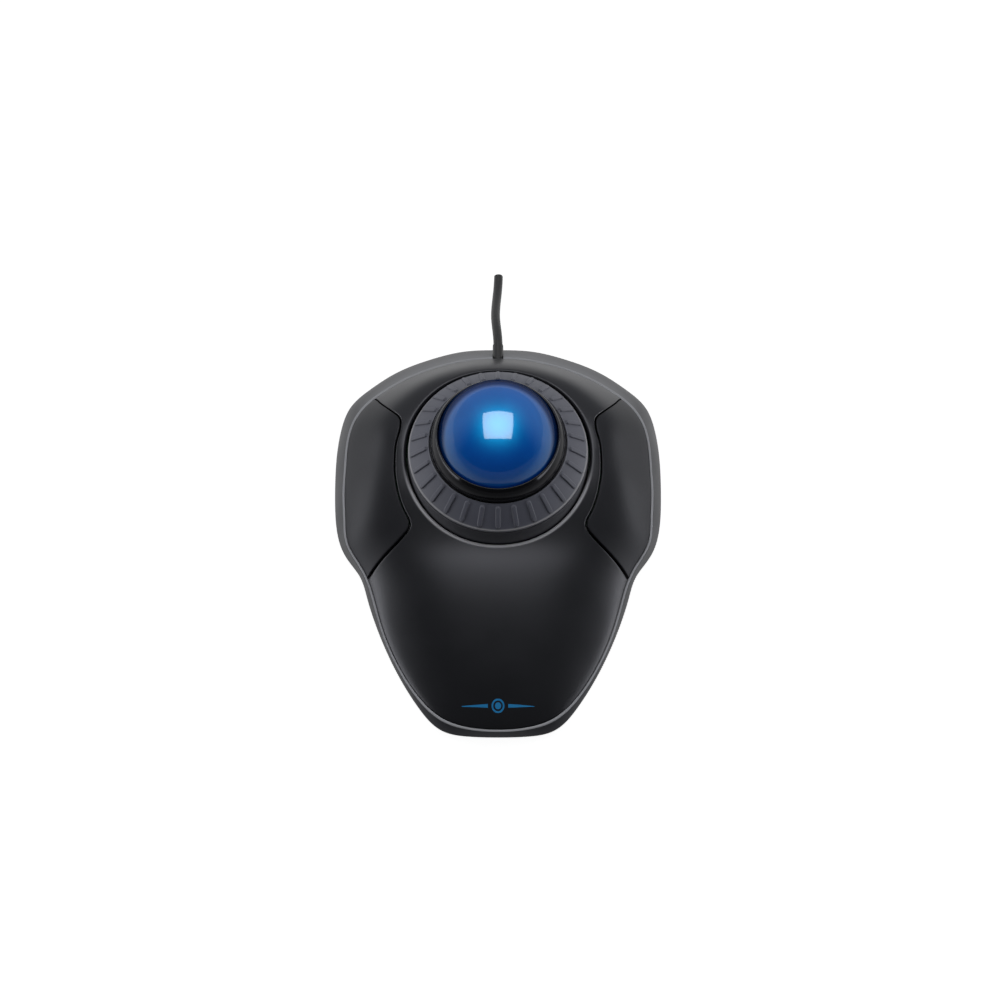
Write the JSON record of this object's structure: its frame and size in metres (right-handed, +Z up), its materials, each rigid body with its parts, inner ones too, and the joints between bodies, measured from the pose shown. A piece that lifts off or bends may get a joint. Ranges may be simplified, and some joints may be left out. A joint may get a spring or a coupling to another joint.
{
  "type": "trackball mouse",
  "caption": "Corded desktop trackball with a captive thumb-and-finger ball, a ribbed scroll ring turning around it, a click button on each side and a sloping palm rest.",
  "frame": {"origin": "on the vertical axis shared by the ball and the scroll ring, at the level of the desk under the rubber feet", "axes": "+Z up, +Y towards the rear where the cable leaves, +X towards the right-hand button"},
  "size_m": [0.117, 0.1818, 0.058],
  "materials": {
    "shell_black": "fine satin texture",
    "ball_blue": "deep pearl blue under a polished clear coat",
    "cup_black": "smooth moulded",
    "ceramic_white": "polished",
    "bezel_gloss": "polished black",
    "core_black": "smooth moulded",
    "ring_rubber": "matt soft-touch",
    "washer_white": "low-friction plastic",
    "pcb_green": "solder mask",
    "chip_black": "moulded epoxy",
    "lens_clear": "clear moulded",
    "led_clear": "tinted clear",
    "steel": "zinc-plated",
    "ribbon_white": "flat flex",
    "connector_white": "nylon",
    "switch_black": "moulded",
    "switch_red": "moulded",
    "capacitor_sleeve": "shrink sleeve",
    "wire_colours": "PVC insulation, four colours",
    "cable_black": "smooth PVC",
    "foot_rubber": "matt",
    "label_silver": "satin foil"
  },
  "bodies": {
    "base": {"ball_bezel": "bezel_gloss", "ball_cup": "cup_black", "base_label": "label_silver", "base_shell": "shell_black", "cable_clamp": "cup_black", "cable_connector": "connector_white", "cable_plug": "connector_white", "cable_wires": "wire_colours", "capacitors": "capacitor_sleeve", "case_screws": "steel", "clamp_screws": "steel", "controller_chip": "chip_black", "crystal": "steel", "cup_screws": "steel", "left_switch_body": "switch_black", "main_pcb": "pcb_green", "optical_sensor": "chip_black", "pcb_screws": "steel", "ribbon_connector": "connector_white", "right_switch_body": "switch_black", "ring_collar": "cup_black", "ring_glide_washer": "washer_white", "ring_photo_interrupter": "chip_black", "rubber_feet": "foot_rubber", "sensor_led": "led_clear", "sensor_lens": "lens_clear", "sensor_pcb": "pcb_green", "sensor_ribbon": "ribbon_white", "sensor_screws": "steel", "strain_relief": "cable_black", "support_bearings": "ceramic_white", "top_shell": "shell_black", "usb_cable": "cable_black"},
    "left_button": {"left_button": "shell_black"},
    "right_button": {"right_button": "shell_black"},
    "left_plunger": {"left_switch_plunger": "switch_red"},
    "right_plunger": {"right_switch_plunger": "switch_red"},
    "ball": {"ball": "ball_blue"},
    "scroll_ring": {"scroll_ring_core": "core_black", "scroll_ring_grip": "ring_rubber"}
  },
  "joints": [
    {"name": "left_button_press", "type": "hinge", "parent": "base", "child": "left_button", "pos_m": [-0.0414, 0.02, 0.0128], "axis": [1, 0, 0], "range_deg": [0, 1]},
    {"name": "right_button_press", "type": "hinge", "parent": "base", "child": "right_button", "pos_m": [0.0414, 0.02, 0.0128], "axis": [1, 0, 0], "range_deg": [0, 1]},
    {"name": "left_plunger_travel", "type": "slide", "parent": "base", "child": "left_plunger", "axis": [0, 0, -1], "range_m": [0, 0.0006]},
    {"name": "right_plunger_travel", "type": "slide", "parent": "base", "child": "right_plunger", "axis": [0, 0, -1], "range_m": [0, 0.0006]},
    {"name": "ball_roll", "type": "hinge", "parent": "base", "child": "ball", "pos_m": [0, 0, 0.038], "axis": [1, 0, 0], "continuous": true},
    {"name": "scroll_ring_spin", "type": "hinge", "parent": "base", "child": "scroll_ring", "pos_m": [0, 0, 0.033], "axis": [0, 0, 1], "continuous": true}
  ],
  "couplings": [
    {"joint": "left_plunger_travel", "follows": "left_button_press", "m_per_rad": 0.032},
    {"joint": "right_plunger_travel", "follows": "right_button_press", "m_per_rad": 0.032}
  ]
}
